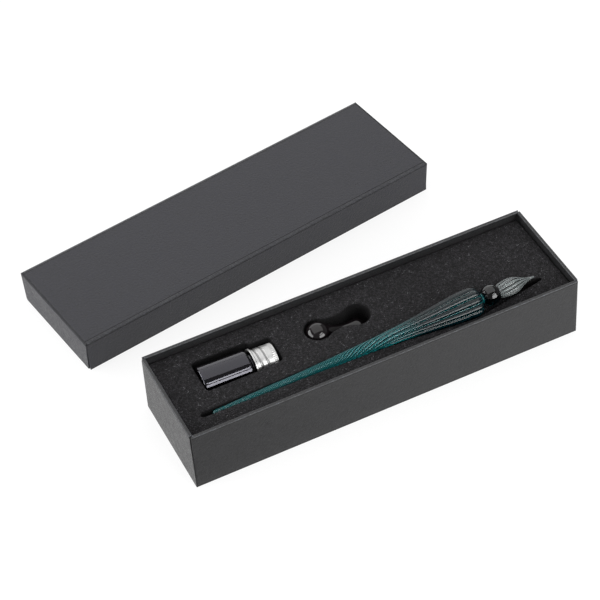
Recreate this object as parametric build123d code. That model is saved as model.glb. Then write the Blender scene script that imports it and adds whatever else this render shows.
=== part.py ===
"""Glass dip pen set: a folded card tray and its lid, a cut foam insert, a twisted
glass dip pen, a glass pen rest and a small bottle of ink with a screw cap.

Millimetres. Z is up. The origin is the middle of the tray's underside, X runs along
the tray towards the pen's nib, and Y runs across it towards the lid lying beside it.
"""
from build123d import *
from math import cos, pi, radians, sin, sqrt
import os

# Card boxes
card = 0.55  # thickness of the card
rim_width = 1.75  # a rolled-over wall, from outer face to inner face
flap_play = 0.05  # play of a corner flap between the plies of an end wall
flap_length = 24.0  # how far a corner flap reaches along the end wall
corner_slack = 0.15  # an end panel stops this far short of each long face at its fold
corner_taper = 1.1  # and this much further back at the rim
rim_round = 0.45  # rounding of a creased edge along a wall
fold_round = 0.5  # rounding of the upright fold between a long wall and its flap
fold_drop = 0.2  # the board slopes away by this much along its bottom folds
fold_band = 1.6  # width of that slope
crease_drop = 0.85  # a pressed line runs this far below each rim
crease_width = 0.3
crease_depth = 0.08

# Tray
tray_length = 210.0
tray_width = 58.5
tray_height = 36.0

# Lid, lying open side down beside the tray
lid_play_length = 0.45  # room over each end of the tray
lid_play_width = 1.2  # room over each long side of the tray
lid_height = 19.0
lid_centre_x = -20.3
lid_centre_y = 114.1
lid_yaw = 9.1  # degrees about Z

# Foam insert
foam_drop = 4.0  # the foam's face lies this far below the tray's rim
foam_play = 0.2  # room round the foam inside the tray
foam_base_gap = 0.05  # the foam lies this far over the tray's floor

# Pen, a tapered rod from its tail to the tip of its nib
pen_from_end = 17.7  # from the tray's end to the pen's tail
pen_from_front = 14.35  # from the tray's front to the pen's axis
pen_tail_drop = 2.4  # the axis starts this far below the foam's face
pen_pitch = 1.8  # degrees, nib end up
handle_length = 146.0
head_radius = 7.65  # over the flutes at the shoulder
tail_radius = 1.25
neck_radius = 2.6
# shares of the handle's length with the radius there
thin_marks = [(0.1, 1.5), (0.19, 1.7), (0.33, 1.95), (0.41, 2.25), (0.5, 2.75), (0.575, 3.1), (0.63, 3.55)]
head_marks = [(0.685, 4.1), (0.733, 4.7), (0.78, 5.4), (0.829, 6.15), (0.877, 6.95), (0.908, 7.4)]
head_step = 0.15  # the fluted part starts this far inside the thin part
flutes = 11
flute_depth = 0.14  # share of the radius
flute_fade = 14.0  # the flutes grow to full depth over this length
bead_radius = 5.2
nib_length = 20.75
nib_base_radius = 3.2
nib_radius = 4.35
nib_flutes = 12
nib_flute_depth = 0.16
nib_point_radius = 0.5
pen_play = 0.2  # room beside the pen in its slot
pen_slot_depth = 6.0
pen_slot_tail = 6.3  # the slot runs on past the tail by this much
pen_slot_tip = 4.3  # and past the nib by this much
pen_slot_shoulder = 5.0  # its widest part ends this far before the handle's end

# Pen rest, two balls joined by a waist
rest_ball_radius = 6.28
rest_waist_radius = 3.9
rest_ball_distance = 22.5
rest_from_end = 84.3  # from the tray's end to the centre of the upper ball
rest_from_back = 21.35
rest_ball_drop = 4.0  # the upper ball's centre lies this far below the foam's face
rest_pitch = -20.3  # degrees, the other ball lies lower
rest_pocket_play = 0.62
rest_pocket_shift = 0.4  # the pocket lies this much further towards the nib end
rest_gap_play = 0.3  # beside the waist
rest_gap_flare = 1.1  # the gap is this much wider on each side where it meets the wells
rest_step_inset = 2.8  # where the shallow end of the pocket drops to the deep end
rest_seat_gap = 0.15  # between a ball and the bottom of its well

# Ink bottle, lying on its side
bottle_radius = 9.2
bottle_body_length = 25.9
bottle_from_end = 21.1  # from the tray's end to the middle of the bottle's base
bottle_from_back = 21.36
bottle_drop = 6.7  # its axis lies this far below the foam's face
bottle_yaw = -1.9  # degrees about Z
bottle_wall = 0.9
bottle_base_round = 1.0
bottle_shoulder_length = 2.0
neck_outer_radius = 6.5
neck_thread_height = 0.45
ink_gap = 0.04

# Screw cap
cap_start = 27.0  # from the bottle's base to the cap's mouth
cap_length = 12.0
cap_radius = 7.9
cap_flange_radius = 8.8
cap_flange_width = 0.9
cap_wall = 0.35
thread_pitch = 3.35
thread_depth = 0.32
knurl_length = 1.7
knurl_count = 48
knurl_size = 0.22  # side of the square cutter that makes each groove
cap_chamfer = 0.45
flange_slope = 0.35
groove_half_width = 0.55  # half the mouth of a rolled thread groove
ring_half_width = 0.9  # half the foot of a thread ring on the neck
ring_crest_half_width = 0.3
liner_thickness = 1.0
liner_play = 0.2
seal_gap = 0.04

# Bottle pocket
pocket_side_play = 0.6  # room on each side of the bottle
cap_pocket_play = 0.35  # room beside the cap
pocket_base_play = 0.3
pocket_cap_play = 1.3  # room for a quarter turn of the cap
pocket_step_play = 0.15  # between the unscrewed flange and the narrower part
pocket_floor_play = 0.1
pocket_round = 1.2

# Worked out from the sizes above
foam_top = tray_height - foam_drop
bead_centre = handle_length + sqrt(bead_radius**2 - neck_radius**2)
nib_start = bead_centre + sqrt(bead_radius**2 - nib_base_radius**2)
pen_length = nib_start + nib_length
pen_tail_x = pen_from_end - tray_length / 2
pen_y = pen_from_front - tray_width / 2
pen_tail_z = foam_top - pen_tail_drop
rest_ball_x = rest_from_end - tray_length / 2
rest_ball_y = tray_width / 2 - rest_from_back
rest_ball_z = foam_top - rest_ball_drop
bottle_base_x = bottle_from_end - tray_length / 2
bottle_base_y = tray_width / 2 - bottle_from_back
bottle_z = foam_top - bottle_drop
bottle_axis_end = cap_start + cap_length
neck_end = cap_start + cap_length - cap_wall - liner_thickness - 2 * seal_gap


def slab(x0, x1, y0, y1, z0, z1):
    """A box between two corners."""
    middle = Pos((x0 + x1) / 2, (y0 + y1) / 2, (z0 + z1) / 2)
    return middle * Box(x1 - x0, y1 - y0, z1 - z0)


def prism(points, z0, z1):
    """A flat outline pushed up from z0 to z1."""
    outline = make_face(Polyline(*points, close=True))
    return Pos(0, 0, z0) * extrude(outline, amount=z1 - z0, dir=(0, 0, 1))


def turned(profile):
    """A solid of revolution about X from points of (length, radius)."""
    outline = make_face(Plane.XY * Polyline(*profile, close=True))
    return revolve(outline, axis=Axis.X)


# Card boxes, built open side up with the floor on z = 0
def box_floor(length, width):
    """The bottom board, its margin sloping up a little towards the folds."""
    full = Rectangle(length - 2 * card, width - 2 * card)
    flat = Rectangle(length - 2 * fold_band, width - 2 * fold_band)
    board = Pos(0, 0, fold_drop) * extrude(full, amount=card - fold_drop, dir=(0, 0, 1))
    return board + loft([flat, Pos(0, 0, fold_drop) * full], ruled=True)


def rolled_wall(plan, face_y, height):
    """A wall folded over itself: outer ply, rim and inner ply, cut to a plan outline."""
    inner = face_y + rim_width
    crease_z = height - crease_drop
    outline = Polyline(
        (face_y, fold_drop), (face_y + card, fold_drop), (face_y + card, height - card),
        (inner - card, height - card), (inner - card, card), (inner, card),
        (inner, height), (face_y, height), (face_y, crease_z + crease_width / 2),
        (face_y + crease_depth, crease_z), (face_y, crease_z - crease_width / 2), close=True)
    section = make_face(outline)
    section = fillet([v for v in section.vertices() if is_folded(v, face_y, inner, height)], rim_round)
    span = max(x for x, y in plan)
    wall = extrude(Plane.YZ.offset(-span) * section, amount=2 * span, dir=(1, 0, 0))
    return wall & plan_prism(plan, face_y, 0, height)


def is_folded(corner, face_y, inner, height):
    """True for the corners of a wall's section where the card is bent."""
    at_rim = abs(corner.Y - height) < card / 10
    at_foot = abs(corner.Y - fold_drop) < card / 10
    on_face = abs(corner.X - face_y) < card / 10
    return (at_rim and (on_face or abs(corner.X - inner) < card / 10)) or (at_foot and on_face)


def plan_prism(plan, face_y, z0, z1):
    """A plan outline pushed up, its corners on the outer face rounded like a fold."""
    outline = make_face(Polyline(*plan, close=True))
    corners = [v for v in outline.vertices() if abs(v.Y - face_y) < card / 10]
    outline = fillet(corners, fold_round)
    return Pos(0, 0, z0) * extrude(outline, amount=z1 - z0, dir=(0, 0, 1))


def long_wall(length, width, height):
    """The wall on the -Y side, with a flap turned round each end."""
    face_y = -width / 2
    inner = face_y + rim_width
    end_x = length / 2 - card - flap_play
    inner_x = length / 2 - rim_width - flap_play
    plan = [
        (-end_x, face_y), (end_x, face_y), (end_x, face_y + card),
        (inner_x, inner), (-inner_x, inner), (-end_x, face_y + card),
    ]
    wall = rolled_wall(plan, face_y, height)
    flap_plan = [
        (-end_x, face_y), (end_x, face_y), (end_x, face_y + flap_length),
        (end_x - card, face_y + flap_length), (end_x - card, face_y + card),
        (card - end_x, face_y + card), (card - end_x, face_y + flap_length),
        (-end_x, face_y + flap_length),
    ]
    return wall + plan_prism(flap_plan, face_y, card, height - card - flap_play)


def end_wall(length, width, height):
    """The wall on the -X side, folded over the corner flaps; its panel widens to its fold."""
    face_y = -length / 2
    foot = width / 2 - corner_slack
    head = foot - corner_taper
    inner_half = width / 2 - rim_width - flap_play
    inner = face_y + rim_width
    plan = [(-head, face_y), (head, face_y), (inner_half, inner), (-inner_half, inner)]
    wall = rolled_wall(plan, face_y, height)
    top = height - crease_drop - crease_width
    side = make_face(Polyline((-foot, fold_drop), (foot, fold_drop), (head, top), (-head, top), close=True))
    panel = extrude(Plane.XZ.offset(-face_y - card) * side, amount=card, dir=(0, -1, 0))
    return Rot(0, 0, -90) * (wall + fillet(lowest_edge(panel, face_y), rim_round))


def lowest_edge(panel, face_y):
    """The fold of an end panel: its lowest edge on the outer face."""
    edges = panel.edges().filter_by(Axis.X)
    return [e for e in edges if e.center().Z < card and abs(e.center().Y - face_y) < card / 10]


def card_box(name, floor_name, length, width, height):
    """Every panel of one folded box, by node name."""
    front = long_wall(length, width, height)
    left = end_wall(length, width, height)
    half_turn = Rot(0, 0, 180)
    return {
        name + floor_name: box_floor(length, width),
        name + "_front_wall": front,
        name + "_back_wall": half_turn * front,
        name + "_left_end": left,
        name + "_right_end": half_turn * left,
    }


def tray_panels():
    return card_box("tray", "_floor", tray_length, tray_width, tray_height)


def lid_panels():
    """The lid, turned open side down and laid beside the tray."""
    length = tray_length + 2 * (lid_play_length + rim_width)
    width = tray_width + 2 * (lid_play_width + rim_width)
    panels = card_box("lid", "_top", length, width, lid_height)
    place = Pos(lid_centre_x, lid_centre_y, lid_height) * Rot(0, 0, lid_yaw) * Rot(180, 0, 0)
    laid = {node: place * solid for node, solid in panels.items()}
    laid["lid_front_wall"], laid["lid_back_wall"] = laid["lid_back_wall"], laid["lid_front_wall"]
    return laid


# Pen
def handle_profile():
    """Points of (length, radius) over the flutes, from the tail to the shoulder."""
    return thin_profile() + head_profile()[1:]


def thin_profile():
    """The round thin part of the handle."""
    tail = [(0.0, tail_radius * 0.55), (tail_radius * 0.65, tail_radius)]
    return tail + [(share * handle_length, radius) for share, radius in thin_marks]


def head_profile():
    """The fluted part of the handle, ending in a round shoulder."""
    shoulder = [(1.242, 0.98), (0.824, 1.0), (0.51, 0.95), (0.34, 0.83), (0.248, 0.66), (0.209, 0.5)]
    start_x, start_radius = thin_profile()[-1]
    swell = [(share * handle_length, radius) for share, radius in head_marks]
    end = [(handle_length - head_radius * back, head_radius * share) for back, share in shoulder]
    return [(start_x, start_radius - head_step)] + swell + end


def lobed_section(length, radius, depth, count):
    """A closed section of rounded lobes, square to X."""
    points = []
    per_lobe = 4
    for i in range(count * per_lobe):
        angle = 2 * pi * i / (count * per_lobe)
        lobe = 0.5 + 0.5 * cos(count * angle)
        reach = radius * (1 - depth * (1 - lobe**0.6))
        points.append((reach * cos(angle), reach * sin(angle)))
    return Plane.YZ.offset(length) * make_face(Spline(*points, periodic=True))


def fluted_rod(profile, count, depth, fade):
    """Lobed sections joined up; the lobes grow to full depth over a fade length."""
    start = profile[0][0]
    sections = []
    for length, radius in profile:
        share = min(1.0, (length - start) / fade + 0.02)
        sections.append(lobed_section(length, radius, depth * share, count))
    return loft(sections)


def pen_handle():
    """The tapered rod, fluted towards its shoulder, with a plain neck."""
    thin = thin_profile()
    rod = turned([(0, 0)] + thin + [(thin[-1][0], 0)])
    head = fluted_rod(head_profile(), flutes, flute_depth, flute_fade)
    shoulder_x = head_profile()[-1][0]
    neck_x = shoulder_x - neck_radius / 3
    neck = turned([
        (neck_x, 0), (neck_x, neck_radius), (handle_length, neck_radius), (handle_length, 0)])
    return rod + head + neck


def pen_bead():
    """The ball between handle and nib, flat where each is fused to it."""
    ball = Pos(bead_centre, 0, 0) * Sphere(bead_radius)
    reach = 2 * bead_radius
    return ball & slab(handle_length, nib_start, -reach, reach, -reach, reach)


def pen_nib():
    """The ridged nib, drawn out to a rounded point."""
    shares = [(0.0, 0.72), (0.07, 0.85), (0.16, 0.94), (0.28, 1.0), (0.4, 0.97), (0.52, 0.83)]
    shares += [(0.62, 0.62), (0.71, 0.42), (0.8, 0.26), (0.88, 0.16)]
    profile = [(nib_length * along, nib_radius * share) for along, share in shares]
    ridged = fluted_rod(profile, nib_flutes, nib_flute_depth, nib_length * 0.05)
    neck_x, neck_r = profile[-1]
    tip = turned([
        (neck_x, 0), (neck_x, neck_r * 0.8), (nib_length - nib_point_radius, nib_point_radius),
        (nib_length, nib_point_radius * 0.4), (nib_length, 0)])
    return Pos(nib_start, 0, 0) * (ridged + tip)


def pen_place():
    return Pos(pen_tail_x, pen_y, pen_tail_z) * Rot(0, -pen_pitch, 0)


# Pen rest
def rest_outline():
    """Half outline of the rest along X, an arc round each ball and one in the waist."""
    half = rest_ball_distance / 2
    # the waist's arc is tangent to both balls and touches the waist's radius in the middle
    gap = rest_waist_radius
    hollow = (half**2 + gap**2 - rest_ball_radius**2) / (2 * (rest_ball_radius - gap))
    centre = gap + hollow
    reach = rest_ball_radius / (rest_ball_radius + hollow)
    joint_x = half - half * reach
    joint_y = centre * reach
    outer = half + rest_ball_radius
    top = sqrt(0.5) * rest_ball_radius
    left_top = (-half - top, top)
    right_top = (half + top, top)
    arcs = [
        ThreePointArc((-outer, 0), left_top, (-joint_x, joint_y)),
        ThreePointArc((-joint_x, joint_y), (0, gap), (joint_x, joint_y)),
        ThreePointArc((joint_x, joint_y), right_top, (outer, 0)),
        Line((outer, 0), (-outer, 0)),
    ]
    return make_face(arcs)


def pen_rest():
    body = revolve(rest_outline(), axis=Axis.X)
    place = Pos(rest_ball_x, rest_ball_y, rest_ball_z) * Rot(0, -rest_pitch, 0)
    return place * Pos(rest_ball_distance / 2, 0, 0) * body


# Ink bottle and its cap, built along X from the bottle's base
def bottle_outer():
    """The outside of the glass, from its rounded base to the end of its neck."""
    r = bottle_radius
    base = bottle_base_round
    end = bottle_body_length
    roll = bottle_shoulder_length
    corner = base * (1 - sqrt(0.5))
    bend = roll * (1 - sqrt(0.5))
    outline = [
        Line((0, 0), (0, r - base)),
        ThreePointArc((0, r - base), (corner, r - corner), (base, r)),
        Line((base, r), (end - roll, r)),
        ThreePointArc((end - roll, r), (end - bend, r - bend), (end, r - roll)),
        Line((end, r - roll), (end, neck_outer_radius)),
        Line((end, neck_outer_radius), (neck_end, neck_outer_radius)),
        Line((neck_end, neck_outer_radius), (neck_end, 0)),
        Line((neck_end, 0), (0, 0)),
    ]
    return revolve(make_face(outline), axis=Axis.X) + neck_threads()


def neck_threads():
    """Two raised rings on the neck, one pitch apart."""
    rings = []
    first = cap_start + cap_flange_width + thread_pitch * 0.9
    for i in range(2):
        middle = first + i * thread_pitch
        foot = neck_outer_radius - card
        crest = neck_outer_radius + neck_thread_height
        rings.append(turned([
            (middle - ring_half_width, foot), (middle - ring_crest_half_width, crest),
            (middle + ring_crest_half_width, crest), (middle + ring_half_width, foot)]))
    return rings[0] + rings[1]


def bottle_cavity(gap):
    """The space inside the glass, drawn in by a gap on every side but the mouth."""
    wide = bottle_radius - bottle_wall - gap
    narrow = neck_outer_radius - bottle_wall - gap
    start = bottle_wall + gap
    shoulder = bottle_body_length - bottle_wall - gap
    round_off = bottle_shoulder_length / 2
    return turned([
        (start, 0), (start, wide - 0.4), (start + 0.4, wide), (shoulder - round_off, wide),
        (shoulder, wide - round_off), (shoulder, narrow), (neck_end - gap, narrow), (neck_end - gap, 0),
    ])


def bottle_glass():
    mouth = turned([(neck_end - 1, 0), (neck_end - 1, neck_outer_radius - bottle_wall),
                    (neck_end + 1, neck_outer_radius - bottle_wall), (neck_end + 1, 0)])
    return bottle_outer() - bottle_cavity(0) - mouth


def bottle_ink():
    return bottle_cavity(ink_gap)


def cap_outline():
    """Outer points of the cap's wall, from the mouth to the closed end."""
    end = cap_length
    bottom = cap_radius - thread_depth
    points = [(0, cap_flange_radius), (cap_flange_width, cap_flange_radius)]
    for middle in (cap_flange_width + flange_slope, thread_pitch, 2 * thread_pitch):
        if middle > cap_flange_width + flange_slope:
            points.append((middle - groove_half_width, cap_radius))
        points.append((middle, bottom))
        points.append((middle + groove_half_width, cap_radius))
    points.append((end - cap_chamfer, cap_radius))
    points.append((end, cap_radius - cap_chamfer))
    return points


def cap_shell():
    """A thin aluminium shell with a flange, rolled threads and a knurled end."""
    outer = cap_outline()
    solid = turned([(0, 0)] + outer + [(cap_length, 0)])
    bore = cap_radius - thread_depth - cap_wall
    inner = turned([(-1, 0), (-1, bore), (cap_length - cap_wall, bore), (cap_length - cap_wall, 0)])
    shell = solid - inner
    middle = cap_length - cap_chamfer - knurl_length / 2
    groove = Pos(middle, 0, cap_radius) * Rot(45, 0, 0) * Box(knurl_length, knurl_size, knurl_size)
    cutters = [Rot(360 * i / knurl_count, 0, 0) * groove for i in range(knurl_count)]
    shell = shell - cutters
    return Pos(cap_start, 0, 0) * shell


def cap_liner():
    radius = cap_radius - thread_depth - cap_wall - liner_play
    start = neck_end + seal_gap
    end = start + liner_thickness
    return turned([(start, 0), (start, radius), (end, radius), (end, 0)])


def bottle_place():
    return Pos(bottle_base_x, bottle_base_y, bottle_z) * Rot(0, 0, bottle_yaw)


# Foam insert and its three pockets
def rounded_pocket(x0, x1, y0, y1, z0):
    """An upright pocket with rounded corners, open at the foam's face."""
    pocket = slab(x0, x1, y0, y1, z0, foam_top + 1)
    return fillet(pocket.edges().filter_by(Axis.Z), pocket_round)


def bottle_pocket():
    """A wide part for the glass and a narrower one for the cap."""
    lean = radians(bottle_yaw)
    middle_y = bottle_base_y + bottle_body_length / 2 * sin(lean)
    cap_y = bottle_base_y + (cap_start + cap_length / 2) * sin(lean)
    end_x = bottle_base_x + bottle_axis_end * cos(lean)
    flange_end = cap_start + cap_flange_width + pocket_cap_play
    step_x = bottle_base_x + flange_end * cos(lean) + pocket_step_play
    floor = bottle_z - bottle_radius - pocket_floor_play
    wide = bottle_radius + pocket_side_play
    narrow = cap_radius + cap_pocket_play
    glass_part = rounded_pocket(
        bottle_base_x - pocket_base_play, step_x, middle_y - wide, middle_y + wide, floor)
    cap_part = rounded_pocket(
        step_x - 3 * pocket_round, end_x + pocket_cap_play, cap_y - narrow, cap_y + narrow, floor)
    return glass_part + cap_part


def rest_pocket():
    """Two round wells joined by a gap; the end under the lower ball is cut deeper."""
    lean = radians(rest_pitch)
    near_x = rest_ball_x + rest_pocket_shift
    far_x = near_x + rest_ball_distance * cos(lean)
    far_z = rest_ball_z + rest_ball_distance * sin(lean)
    radius = rest_ball_radius + rest_pocket_play
    wells = [Pos(x, rest_ball_y) * Circle(radius) for x in (near_x, far_x)]
    gap = Pos((near_x + far_x) / 2, rest_ball_y) * rest_gap(radius)
    outline = wells[0] + wells[1] + gap
    shallow = rest_ball_z - rest_ball_radius - rest_seat_gap
    deep = far_z - rest_ball_radius - rest_seat_gap
    step_x = near_x + radius - rest_step_inset
    pocket = Pos(0, 0, shallow) * extrude(outline, amount=foam_top, dir=(0, 0, 1))
    drop = Pos(0, 0, deep) * extrude(outline, amount=foam_top, dir=(0, 0, 1))
    return pocket + (drop & slab(step_x, far_x + 2 * radius, -foam_top, foam_top, 0, foam_top))


def rest_gap(well_radius):
    """The hourglass between the wells, its sides hollow like the rest's waist."""
    half = rest_waist_radius + rest_gap_play
    wide = half + rest_gap_flare
    reach = rest_ball_distance * cos(radians(rest_pitch)) / 2 - sqrt(well_radius**2 - wide**2)
    sides = [
        ThreePointArc((-reach, wide), (0, half), (reach, wide)),
        Line((reach, wide), (reach, -wide)),
        ThreePointArc((reach, -wide), (0, -half), (-reach, -wide)),
        Line((-reach, -wide), (-reach, wide)),
    ]
    return make_face(sides)


def pen_slot():
    """A slot that follows the pen from tail to nib."""
    half_widths = [(-pen_slot_tail, tail_radius)]
    widest = handle_length - pen_slot_shoulder
    half_widths += [(a, r + pen_play) for a, r in handle_profile()[1:] if a < widest]
    half_widths.append((pen_length + pen_slot_tip, tail_radius / 2))
    near = [(pen_tail_x + a, pen_y - w) for a, w in half_widths]
    far = [(pen_tail_x + a, pen_y + w) for a, w in reversed(half_widths)]
    return prism(near + far, foam_top - pen_slot_depth, foam_top + 1)


def foam_insert():
    half_x = tray_length / 2 - rim_width - foam_play
    half_y = tray_width / 2 - rim_width - foam_play
    block = slab(-half_x, half_x, -half_y, half_y, card + foam_base_gap, foam_top)
    return block - bottle_pocket() - rest_pocket() - pen_slot()


def all_nodes():
    nodes = {}
    nodes.update(tray_panels())
    nodes.update(lid_panels())
    nodes["foam_insert"] = foam_insert()
    nodes["pen_handle"] = pen_place() * pen_handle()
    nodes["pen_bead"] = pen_place() * pen_bead()
    nodes["pen_nib"] = pen_place() * pen_nib()
    nodes["pen_rest"] = pen_rest()
    nodes["bottle_glass"] = bottle_place() * bottle_glass()
    nodes["bottle_ink"] = bottle_place() * bottle_ink()
    nodes["cap_liner"] = bottle_place() * cap_liner()
    nodes["cap_shell"] = bottle_place() * cap_shell()
    return nodes


os.makedirs("parts", exist_ok=True)
for node, solid in all_nodes().items():
    export_step(solid, "parts/" + node + ".step")
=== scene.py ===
"""Glass dip pen set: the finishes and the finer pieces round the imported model.

Metres, in the model's own frame. Sizes named in millimetres are turned into
metres where a mesh is made.
"""
from math import asin, cos, pi, radians, sin, sqrt

import bmesh
import bpy
from bpy.props import FloatProperty, FloatVectorProperty, IntProperty, PointerProperty
from mathutils import Matrix, Vector


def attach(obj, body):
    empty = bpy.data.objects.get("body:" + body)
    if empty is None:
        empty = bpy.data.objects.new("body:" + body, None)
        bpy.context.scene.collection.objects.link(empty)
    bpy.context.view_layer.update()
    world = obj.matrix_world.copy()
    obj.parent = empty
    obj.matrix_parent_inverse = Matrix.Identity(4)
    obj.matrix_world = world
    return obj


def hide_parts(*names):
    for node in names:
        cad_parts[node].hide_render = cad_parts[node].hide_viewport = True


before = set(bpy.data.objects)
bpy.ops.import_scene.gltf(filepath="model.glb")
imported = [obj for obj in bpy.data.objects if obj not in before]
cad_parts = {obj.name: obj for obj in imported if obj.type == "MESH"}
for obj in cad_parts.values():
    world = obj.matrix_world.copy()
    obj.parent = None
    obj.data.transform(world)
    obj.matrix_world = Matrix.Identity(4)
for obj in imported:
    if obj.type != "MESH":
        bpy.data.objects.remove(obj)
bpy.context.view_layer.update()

bl_info = {
    "name": "Glass dip pen set",
    "version": (1, 0, 0),
    "blender": (4, 5, 0),
    "location": "3D View > Sidebar > Pen Set",
    "description": "Dresses a boxed glass dip pen, its rest and its bottle of ink",
    "category": "Add Mesh",
}

MM = 0.001

# Places, as in the solid model
PEN_TAIL = (-87.3, -14.9, 29.6)
PEN_PITCH = 1.8
REST_BALL = (-20.7, 7.9, 28.0)
REST_PITCH = 20.3
BOTTLE_BASE = (-83.9, 7.89, 25.3)
BOTTLE_YAW = -1.9
LID_CENTRE = (-20.3, 114.1)
LID_YAW = 9.1
TRAY_SIZE = (210.0, 58.5, 36.0)
LID_SIZE = (214.4, 64.4, 19.0)


def matrix_place(position, axis, degrees):
    """A turn about one axis and a move, in millimetres, for a piece built along X."""
    move = Matrix.Translation(Vector(position) * MM)
    return move @ Matrix.Rotation(radians(degrees), 4, axis)


PEN_PLACE = matrix_place(PEN_TAIL, "Y", -PEN_PITCH)
REST_PLACE = matrix_place(REST_BALL, "Y", REST_PITCH)
BOTTLE_PLACE = matrix_place(BOTTLE_BASE, "Z", BOTTLE_YAW)


def srgb(code):
    """Linear colour of a six-digit display code."""
    parts = [int(code[i:i + 2], 16) / 255 for i in (0, 2, 4)]
    return tuple(p / 12.92 if p <= 0.04045 else ((p + 0.055) / 1.055) ** 2.4 for p in parts)


def shade(colour, factor):
    """A colour made darker or lighter."""
    return tuple(c * factor for c in colour)


# Sizes and colours that a user may change

def colour_property(name, description, default):
    return FloatVectorProperty(
        name=name, description=description, subtype="COLOR", size=3, min=0, max=1,
        default=default)


class CardLooks(bpy.types.PropertyGroup):
    """Finish of the card tray and lid."""
    tray_colour: colour_property(
        "Tray colour", "Colour of the tray's card", srgb("1c1c1d"))
    lid_colour: colour_property(
        "Lid colour", "Colour of the lid's card", srgb("19191f"))
    grain: FloatProperty(
        name="Grain", description="Size of the card's fine grain", unit="LENGTH",
        min=0.0001, max=0.005, default=0.0004)
    wear: FloatProperty(
        name="Wear", description="How far the rubbed edge of a fold reaches", unit="LENGTH",
        min=0, max=0.005, default=0.00045)


class FoamLooks(bpy.types.PropertyGroup):
    """Shape and finish of the foam insert."""
    colour: colour_property(
        "Foam colour", "Colour of the foam's face", srgb("1a191b"))
    cell: FloatProperty(
        name="Cell size", description="Width of the foam's open cells", unit="LENGTH",
        min=0.0002, max=0.003, default=0.00065)
    voxel: FloatProperty(
        name="Mesh step", description="Mesh step of the cut block", unit="LENGTH",
        min=0.0004, max=0.003, default=0.0007)
    unevenness: FloatProperty(
        name="Unevenness", description="How far the cut faces dip", unit="LENGTH",
        min=0, max=0.001, default=0.00012)


class PenLooks(bpy.types.PropertyGroup):
    """Shape and finish of the pen."""
    flutes: IntProperty(
        name="Flutes", description="Number of ridges round the handle", min=3, max=24, default=11)
    flute_depth: FloatProperty(
        name="Flute depth", description="Depth of a flute as a share of the radius",
        subtype="FACTOR", min=0, max=0.5, default=0.27)
    nib_flutes: IntProperty(
        name="Nib ridges", description="Number of ridges round the nib", min=3, max=24, default=12)
    nib_depth: FloatProperty(
        name="Nib ridge depth", description="Depth of the nib's grooves as a share of the radius",
        subtype="FACTOR", min=0, max=0.5, default=0.18)
    twist: FloatProperty(
        name="Twist", description="Turn of the thin handle's ridges over one millimetre",
        subtype="ANGLE", min=0, max=1, default=radians(22))
    glass_colour: colour_property(
        "Glass colour", "Colour that the handle's glass lets through", (0.01, 0.55, 0.62))


class BottleLooks(bpy.types.PropertyGroup):
    """Finish of the ink bottle and its cap."""
    ink_colour: colour_property(
        "Ink colour", "Colour of the ink", (0.006, 0.004, 0.012))
    metal_colour: colour_property(
        "Cap colour", "Colour of the cap's metal", (0.52, 0.52, 0.515))
    knurls: IntProperty(
        name="Knurls", description="Number of grooves round the cap", min=12, max=96, default=48)


class StageLooks(bpy.types.PropertyGroup):
    """Light of the studio."""
    light: FloatProperty(
        name="Light", description="Brightness of all lamps", min=0, max=4, default=1)


# Meshes

def new_object(name, data):
    """An object in the scene."""
    thing = bpy.data.objects.new(name, data)
    bpy.context.scene.collection.objects.link(thing)
    return thing


def new_piece(name, vertices, faces):
    """A smooth-shaded object from points in metres."""
    mesh = bpy.data.meshes.new(name)
    mesh.from_pydata(vertices, [], faces)
    mesh.validate()
    mesh.polygons.foreach_set("use_smooth", [True] * len(mesh.polygons))
    return new_object(name, mesh)


def lathe(name, profile, sides, turn=None, marks=None):
    """A surface turned about X from (along, radius) points in millimetres.

    A radius of 0 makes a pole. turn(along) twists the rings, in radians. marks
    names values kept on the points besides their angle, each a function of the
    ring's number, its place along X and the angle before the twist.
    """
    marks = {"angle": lambda i, along, angle: angle, **marks} if marks else {}
    vertices, faces, rings, values = [], [], [], {key: [] for key in marks}
    for i, (along, radius) in enumerate(profile):
        count = 1 if radius == 0 else sides
        rings.append((len(vertices), count))
        twist = turn(along) if turn else 0
        for k in range(count):
            angle = 2 * pi * k / sides
            across, upward = cos(angle + twist), sin(angle + twist)
            vertices.append((along * MM, radius * across * MM, radius * upward * MM))
            for key in values:
                values[key].append(marks[key](i, along, angle))
    for (a, count_a), (b, count_b) in zip(rings, rings[1:]):
        if count_a == count_b == 1:
            continue
        for k in range(sides):
            n = (k + 1) % sides
            if count_a == 1:
                faces.append((a, b + k, b + n))
            elif count_b == 1:
                faces.append((a + k, b, a + n))
            else:
                faces.append((a + k, b + k, b + n, a + n))
    piece = new_piece(name, vertices, faces)
    for key, numbers in values.items():
        layer = piece.data.attributes.new(key, "FLOAT", "POINT")
        layer.data.foreach_set("value", numbers)
    weld(piece, 1e-7, outward=True)  # joins the seam of a looped profile
    return piece


def weld(piece, distance, outward=False):
    """Joins points this close in metres, and may turn every face outwards."""
    shape = bmesh.new()
    shape.from_mesh(piece.data)
    bmesh.ops.remove_doubles(shape, verts=shape.verts, dist=distance)
    if outward:
        bmesh.ops.recalc_face_normals(shape, faces=shape.faces)
    shape.to_mesh(piece.data)
    shape.free()


def rounded(points, radius, steps=5):
    """A line of points with each inner corner rounded."""
    line = [points[0]]
    for before, corner, after in zip(points, points[1:], points[2:]):
        corner = Vector(corner)
        to_before, to_after = Vector(before) - corner, Vector(after) - corner
        reach = min(radius, to_before.length * 0.45, to_after.length * 0.45)
        start = corner + to_before.normalized() * reach
        end = corner + to_after.normalized() * reach
        for i in range(steps + 1):
            t = i / steps
            point = start * (1 - t) ** 2 + corner * 2 * t * (1 - t) + end * t * t
            line.append((point.x, max(point.y, 0.001)))
    line.append(points[-1])
    return line


def share(value):
    """The value itself, held between 0 and 1."""
    return min(1.0, max(0.0, value))


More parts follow.
